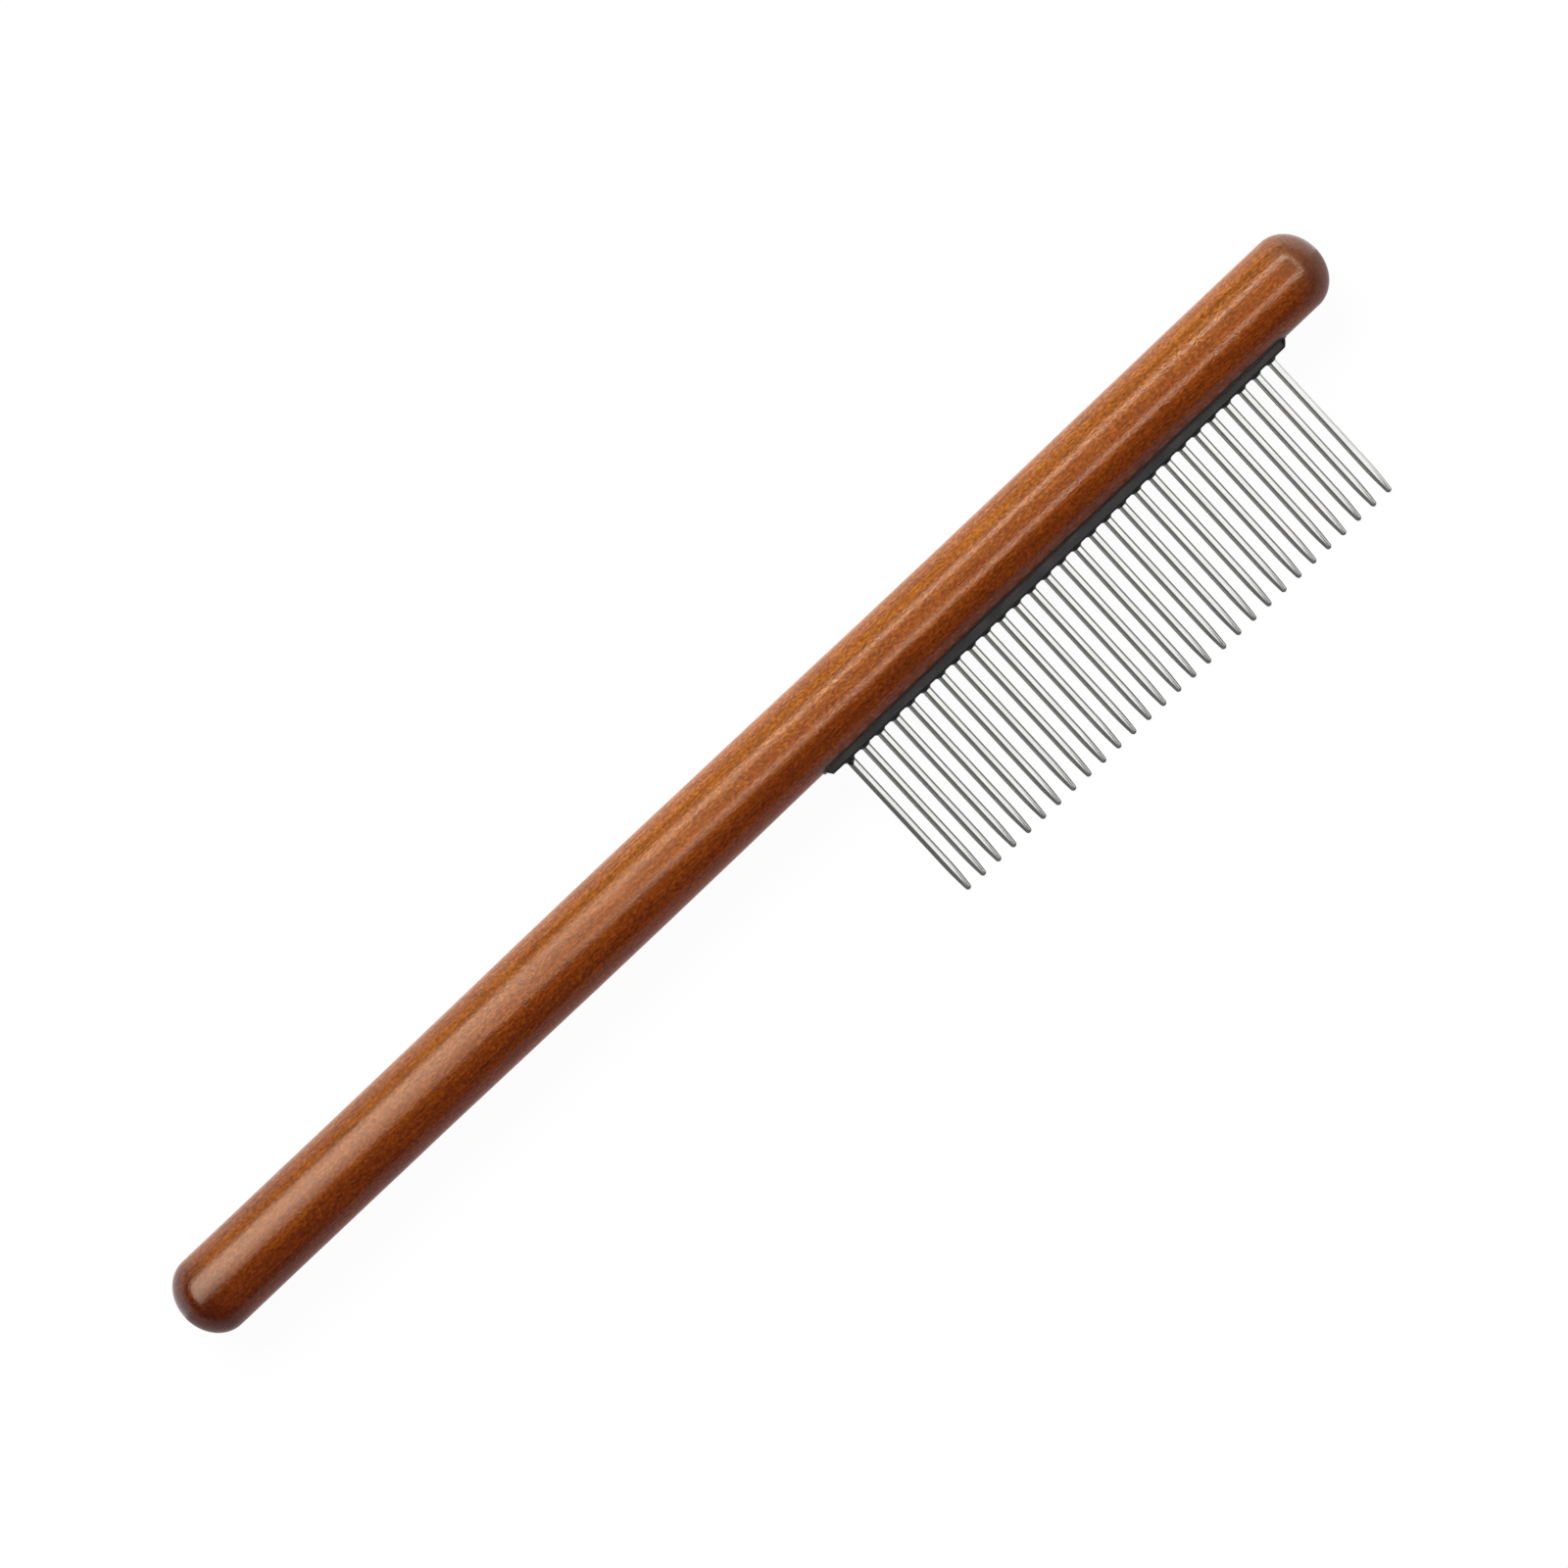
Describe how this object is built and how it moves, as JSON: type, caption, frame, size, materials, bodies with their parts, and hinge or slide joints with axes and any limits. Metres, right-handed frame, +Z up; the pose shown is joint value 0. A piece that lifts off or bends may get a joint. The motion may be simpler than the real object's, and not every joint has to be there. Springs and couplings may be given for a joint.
{
  "type": "grooming comb",
  "caption": "Pet grooming comb: a turned round wood handle with a row of round-tipped steel pins standing in a dark moulded strip near one end.",
  "frame": {"origin": "bottom centre of the whole comb's box as it lies on a table: the handle's swell and the pin tips touch Z = 0", "axes": "+X along the handle from its plain butt end towards the comb end; the pins point towards -Y and slope down 10.4 degrees to the table; +Z up"},
  "size_m": [0.2256, 0.0396, 0.0129],
  "materials": {
    "handle_wood": "reddish brown stained hardwood under a clear satin to gloss lacquer, fine lengthwise grain",
    "adhesive": "cured dark adhesive, smooth with an uneven edge",
    "strip_plastic": "moulded black plastic with a faint blue-grey cast, satin",
    "pin_steel": "polished stainless steel wire, fine drawing lines along each pin"
  },
  "bodies": {
    "root": {"handle": "handle_wood", "glue_bed": "adhesive", "pin_strip": "strip_plastic", "pin_01": "pin_steel", "pin_02": "pin_steel", "pin_03": "pin_steel", "pin_04": "pin_steel", "pin_05": "pin_steel", "pin_06": "pin_steel", "pin_07": "pin_steel", "pin_08": "pin_steel", "pin_09": "pin_steel", "pin_10": "pin_steel", "pin_11": "pin_steel", "pin_12": "pin_steel", "pin_13": "pin_steel", "pin_14": "pin_steel", "pin_15": "pin_steel", "pin_16": "pin_steel", "pin_17": "pin_steel", "pin_18": "pin_steel", "pin_19": "pin_steel", "pin_20": "pin_steel", "pin_21": "pin_steel", "pin_22": "pin_steel", "pin_23": "pin_steel", "pin_24": "pin_steel", "pin_25": "pin_steel", "pin_26": "pin_steel", "pin_27": "pin_steel", "pin_28": "pin_steel", "pin_29": "pin_steel"}
  },
  "joints": []
}
